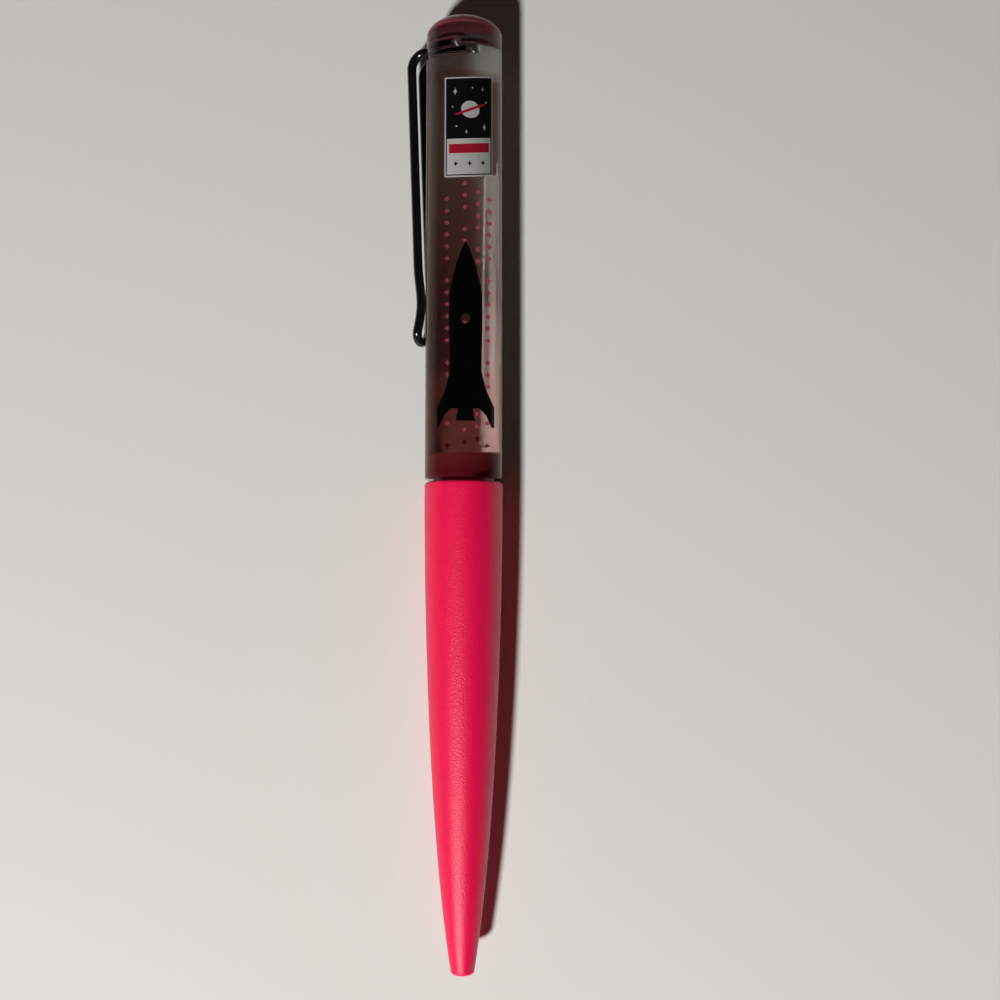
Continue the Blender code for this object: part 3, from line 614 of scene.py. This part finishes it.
OVERPRINT_RISE = 0.025
OVERPRINT = INK_OUTER + OVERPRINT_RISE
PLANET_OFF, PLANET_UP, PLANET_RADIUS = 0.02, 2.6, 1.3
SKY_MARKS = (
    (PLANET_OFF, PLANET_UP, PLANET_RADIUS, PLANET_RADIUS, 2.0), (-0.44, 5.4, 0.32, 0.6, 0.6),
    (0.40, 5.6, 0.2, 0.36, 0.6), (0.46, -0.2, 0.3, 0.56, 0.6), (-0.40, 0.1, 0.12, 0.12, 2.0),
    (-0.52, 3.1, 0.1, 0.1, 2.0), (0.52, 3.6, 0.12, 0.12, 2.0), (0.08, 5.9, 0.1, 0.1, 2.0),
    (-0.10, -0.8, 0.2, 0.36, 0.6))
work = bmesh.new()
for turn_off, up, *mark in SKY_MARKS:
    turn = LABEL_MIDDLE + turn_off
    print_mark(work, OVERPRINT, turn, label_middle + up + askew(turn), *mark)
label_stars = made_piece("label_stars", work, [white_film], "upper_barrel")
RING_TILT, RING_HALF = 0.35, 2.1
RING_EDGE, RING_SWELL = 0.05, 0.17
RING_TURN = LABEL_MIDDLE + PLANET_OFF
BAND_LOW, BAND_HIGH = label_middle - 4.0, label_middle - 2.6


def ring_middle(turn):
    """Place along the pen of the middle of the planet's ring, in mm."""
    return label_middle + PLANET_UP + askew(turn) + RING_TILT * FILM_OUTER * (turn - RING_TURN)


def ring_thick(turn):
    """Half the thickness of the planet's ring, in mm, full in the middle and fine at its ends."""
    return RING_EDGE + RING_SWELL * math.sqrt(max(0.0, 1 - ((turn - RING_TURN) * FILM_OUTER / RING_HALF) ** 2))


ring_reach = RING_HALF / FILM_OUTER
work = bmesh.new()
wrap_patch(work, OVERPRINT + INK_GAP, OVERPRINT + OVERPRINT_RISE,
           evenly(RING_TURN - ring_reach, RING_TURN + ring_reach, BAND_STEPS),
           lambda turn: ring_middle(turn) - ring_thick(turn), lambda turn: ring_middle(turn) + ring_thick(turn))
wrap_patch(work, INK_INNER, INK_OUTER, evenly(first + 3 * width_turn, last - 3 * width_turn, BAND_STEPS),
           lambda turn: BAND_LOW + askew(turn), lambda turn: BAND_HIGH + askew(turn))
red_ink = in_oil(grained("red_ink", (0.60, 0.02, 0.05), 0.5, grain=0.1, shade=0.1))
label_accent = made_piece("label_accent", work, [red_ink], "upper_barrel")

# Pocket clip: spring-steel wire with a gloss black coat, bent into a hairpin that hugs the tube at its waist.
# Its two legs are pushed into holes through the tube and its plug, and their cut ends are bare steel.
CLIP_OFFSET, CLIP_BEND = 8.25, 2.35
BARE_END = 0.35
WIRE_SIDES = 32
END_STEP, BARE_STEP, LEG_FROM, BEND_LEAD, LOOP_LEAD = 0.08, 0.02, 1.0, 0.4, 0.1
LEG_STEPS, BEND_STEPS, ARM_STEPS, LEAN_STEPS, WAIST_STEPS, LOOP_STEPS = 6, 24, 12, 14, 24, 36
LEAN_AT, WAIST_AT, TIP_AT = (35.0, 6.95), (41.0, 6.3845), (46.4, 7.3845)
TIP_SLOPE = 0.2778


def eased(start, end, start_slope, end_slope, steps):
    """Points of a smooth run between two (drop, offset) places with a slope at each."""
    span = end[0] - start[0]
    points = []
    for t in evenly(0, 1, steps)[1:]:
        offset = ((2 * t**3 - 3 * t**2 + 1) * start[1] + (3 * t**2 - 2 * t**3) * end[1]
                  + (t**3 - 2 * t**2 + t) * span * start_slope + (t**3 - t**2) * span * end_slope)
        points.append((start[0] + span * t, offset))
    return points


def clip_route():
    """Centre line of the wire from one cut end to the other."""
    bend_end = LEG_DROP + CLIP_BEND
    bend_start = CLIP_OFFSET - CLIP_BEND
    side = [(LEG_DROP, LEG_END), (LEG_DROP, LEG_END + END_STEP), (LEG_DROP, LEG_END + BARE_END),
            (LEG_DROP, LEG_END + BARE_END + BARE_STEP)]
    side += [(LEG_DROP, offset) for offset in evenly(LEG_FROM, bend_start - BEND_LEAD, LEG_STEPS)]
    for angle in evenly(0, math.pi / 2, BEND_STEPS):
        side.append((bend_end - CLIP_BEND * math.cos(angle), bend_start + CLIP_BEND * math.sin(angle)))
    lean_slope = (LEAN_AT[1] - CLIP_OFFSET) / (LEAN_AT[0] - bend_end)
    side += eased((bend_end, CLIP_OFFSET), LEAN_AT, lean_slope, lean_slope, ARM_STEPS)
    side += eased(LEAN_AT, WAIST_AT, lean_slope, 0.0, LEAN_STEPS)
    loop_start = TIP_AT[0] - LEG_SPACING
    waist = eased(WAIST_AT, TIP_AT, 0.0, TIP_SLOPE, WAIST_STEPS)
    side += [spot for spot in waist if spot[0] < loop_start - LOOP_LEAD]
    one = [clip_point(drop, offset, LEG_SPACING) for drop, offset in side]
    other = [clip_point(drop, offset, -LEG_SPACING) for drop, offset in reversed(side)]
    loop = []
    for angle in evenly(0, math.pi, LOOP_STEPS):
        drop = loop_start + LEG_SPACING * math.sin(angle)
        loop.append(clip_point(drop, TIP_AT[1] - TIP_SLOPE * (TIP_AT[0] - drop), LEG_SPACING * math.cos(angle)))
    return one + loop + other


work = bmesh.new()
draw_wire(work, clip_route(), WIRE_RADIUS, WIRE_SIDES, BARE_END)
black_coat = grained("gloss_black_coat", (0.004, 0.004, 0.004), 0.16, grain=0.2, shade=0.2, wear=0.3, relief=0.002)
bare_steel = grained("bare_steel", (0.72, 0.72, 0.72), 0.25, metallic=1.0, grain=0.08, shade=0.1, relief=0.004)
clip = made_piece("wire_clip", work, [black_coat, bare_steel], "clip")
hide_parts("pocket_clip")

# Dome: rose-tinted clear acrylic, moulded and polished.
# It is cemented to the top of the tube and its plug.
DOME_STEPS = 48
DOME_JOIN = 0.002
DOME_FADE = 1.5
dome_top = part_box("dome_cap")[1].y / MM
dome_low = tube_high + DOME_JOIN
dome_outline = [(0, dome_low)] + [
    (pen_radius * math.cos(a), dome_low + (dome_top - dome_low) * math.sin(a))
    for a in evenly(0, math.pi / 2, DOME_STEPS)[:-1]] + [(0, dome_top)]
work = bmesh.new()
turn_outline(work, dome_outline, SHELL_SIDES, [1] + [0] * (len(dome_outline) - 2))
rose_dome = rose_depth(clear_finish("rose_dome", ACRYLIC_BEND, (0.36, 0.08, 0.10), clear=0.6), (0.8, 0.3, 0.33), 0.04)
tint_gloss(rose_dome, (1.0, 0.32, 0.40))
rose_cement = clear_finish("rose_cement", 1.0, (0.17, 0.15, 0.14), clear=0.6)
fade(rose_cement, (0.21, 0.055, 0.07), pen_radius - DOME_FADE, pen_radius + DOME_FADE, "Z")
dome = made_piece("rose_dome", work, [rose_dome, rose_cement], "upper_barrel")
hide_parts("dome_cap")

# Table: a wide sheet of matt off-white paper with a fine mottle.
# The pen lies on it; it isn't part of the pen.
PAPER_HALF = 1.5
PAPER_DROP = 0.00002
PAPER_CELLS = 8
work = bmesh.new()
bmesh.ops.create_grid(work, x_segments=PAPER_CELLS, y_segments=PAPER_CELLS, size=PAPER_HALF)
bmesh.ops.translate(work, verts=work.verts, vec=(0, 0, -PAPER_DROP))
mesh = bpy.data.meshes.new("paper")
work.to_mesh(mesh)
work.free()
mesh.materials.append(grained("matt_paper", (0.80, 0.79, 0.745), 0.9, grain=0.5, shade=0.03, relief=0.01))
paper = bpy.data.objects.new("paper", mesh)
bpy.context.collection.objects.link(paper)

# Light: one round studio lamp, low beyond the nose and to the clip's side, and a dim surround.
# The surround is pale near the horizon for what mirrors it, and gives little light of its own.
# Narrow strips above the paper stand for the light that the tube gathers in streaks, and light the paper alone.
LAMP_TOWARDS = Vector((-0.427, -0.85, 1.0)).normalized()
LAMP_DISTANCE = 0.8
LAMP_WIDTH = 0.08
LAMP_WATTS = 6.3
OIL_SHARE = 0.5
HORIZON = ((0.02, (0.30, 0.29, 0.275)), (0.12, (0.022, 0.016, 0.013)))
SURROUND_SHARE = 0.95
STREAK_SPREAD = math.radians(40)
WARM, COOL, ROSE = (0.92, 0.97, 0.95), (0.80, 0.97, 1.0), (1.0, 0.42, 0.40)
# Each strip: start and length along the tube, offset and width across it, height of its two ends, all in mm;
# then its turn in degrees, its watts and its colour.
STREAKS = ((4.5, 43.0, 1.177, 0.75, 0.3, 2.52, 0.22, 0.000009, WARM),
           (33.0, 14.5, 1.122, 0.75, 1.77, 2.52, 0.22, 0.0000026, WARM),
           (62.6, 6.4, 1.02, 0.75, 3.3, 3.6, 0.22, 0.0000048, WARM),
           (4.5, 22.0, 1.05, 0.2, 0.1, 2.5, 0.0, 0.000008, WARM),
           (4.5, 45.0, 0.74, 0.05, 0.3, 0.05, 0.0, 0.000004, COOL),
           (4.5, 43.0, 0.971, 0.05, 0.03, 0.287, 0.25, 0.0000076, COOL),
           (4.5, 22.0, 0.9, 0.12, 0.03, 2.0, 0.0, 0.000005, COOL),
           (3.6, 62.0, 0.0, 2.4, 0.3, 6.0, 0.0, 0.000013, ROSE),
           (3.6, 12.0, 0.0, 2.4, 0.3, 4.0, 0.0, 0.000006, ROSE))


def hang_lamp(name, watts):
    """A round lamp in the lamp's place, which glass doesn't mirror or spread."""
    data = bpy.data.lights.new(name, "AREA")
    data.shape = "DISK"
    data.size = LAMP_WIDTH
    data.energy = watts
    lamp = bpy.data.objects.new(name, data)
    lamp.location = LAMP_TOWARDS * LAMP_DISTANCE
    lamp.rotation_euler = LAMP_TOWARDS.to_track_quat("Z", "Y").to_euler()
    lamp.visible_transmission = False
    bpy.context.collection.objects.link(lamp)
    return lamp


def gather(name, pieces, state):
    """A set of pieces that a lamp lights or passes by."""
    group = bpy.data.collections.new(name)
    for piece in pieces:
        group.objects.link(piece)
    for linked in group.collection_objects:
        linked.light_linking.link_state = state
    return group


studio_lamp = hang_lamp("studio_lamp", LAMP_WATTS)
studio_lamp.light_linking.receiver_collection = gather("clear_pieces", (tube, film), "EXCLUDE")
oil_lamp = hang_lamp("light_through_oil", OIL_SHARE * LAMP_WATTS)
oil_lamp.light_linking.receiver_collection = gather(
    "pieces_in_oil", (label, label_print, label_stars, label_accent, film_print, figure, plug, dome), "INCLUDE")
oil_lamp.light_linking.blocker_collection = gather("lets_light_through", (tube, plug, dome, figure), "EXCLUDE")
under_tube = gather("under_tube", (paper,), "INCLUDE")
over_streak = gather("over_streak", (tube, film, film_print, figure), "EXCLUDE")
for start, length, offset, width, low, high, turn, watts, colour in STREAKS:
    streak_data = bpy.data.lights.new("light_gathered_by_tube", "AREA")
    streak_data.shape = "RECTANGLE"
    streak_data.size, streak_data.size_y = width * MM, length * MM
    streak_data.spread = STREAK_SPREAD
    streak_data.energy = watts
    streak_data.color = colour
    streak = bpy.data.objects.new("light_gathered_by_tube", streak_data)
    streak.location = (pen_x + offset * MM, (tube_low + start + length / 2) * MM, (low + high) / 2 * MM)
    streak.rotation_euler = (math.asin((high - low) / length), 0, math.radians(turn))
    for sight in ("camera", "glossy", "transmission"):
        setattr(streak, "visible_" + sight, False)
    bpy.context.collection.objects.link(streak)
    streak.light_linking.receiver_collection = under_tube
    streak.light_linking.blocker_collection = over_streak
world = bpy.data.worlds.new("dim_studio")
bpy.context.scene.world = world
world.use_nodes = True
nodes, links = world.node_tree.nodes, world.node_tree.links
surround = nodes["Background"]
direction = nodes.new("ShaderNodeTexCoord")
height = nodes.new("ShaderNodeSeparateXYZ")
horizon = nodes.new("ShaderNodeValToRGB")
horizon.color_ramp.interpolation = "EASE"
for stop, (place, colour) in zip(horizon.color_ramp.elements, HORIZON):
    stop.position = place
    stop.color = (*colour, 1.0)
ray = nodes.new("ShaderNodeLightPath")
dimmer = nodes.new("ShaderNodeMapRange")
dimmer.inputs["To Min"].default_value = 1.0
dimmer.inputs["To Max"].default_value = SURROUND_SHARE
links.new(direction.outputs["Generated"], height.inputs["Vector"])
links.new(height.outputs["Z"], horizon.inputs["Fac"])
links.new(horizon.outputs["Color"], surround.inputs["Color"])
links.new(ray.outputs["Is Diffuse Ray"], dimmer.inputs["Value"])
links.new(dimmer.outputs["Result"], surround.inputs["Strength"])

# Camera: looks down on the pen from a hand's height, with a slight tilt.
# Its place and lens come from the sizes that the pen's ends and width have in the picture.
LENS, SENSOR_WIDTH = 43.2, 36.0
NEAREST = 0.01
CAMERA_PLACE = (0.00696, -0.0171, 0.1831)
CAMERA_TILT = math.radians(4.67)
camera_data = bpy.data.cameras.new("camera")
camera_data.lens = LENS
camera_data.sensor_width = SENSOR_WIDTH
camera_data.clip_start = NEAREST
camera = bpy.data.objects.new("camera", camera_data)
camera.location = CAMERA_PLACE
camera.rotation_euler = (CAMERA_TILT, 0, 0)
bpy.context.collection.objects.link(camera)
bpy.context.scene.camera = camera
bpy.context.scene.view_settings.view_transform = "Standard"

bpy.context.view_layer.update()
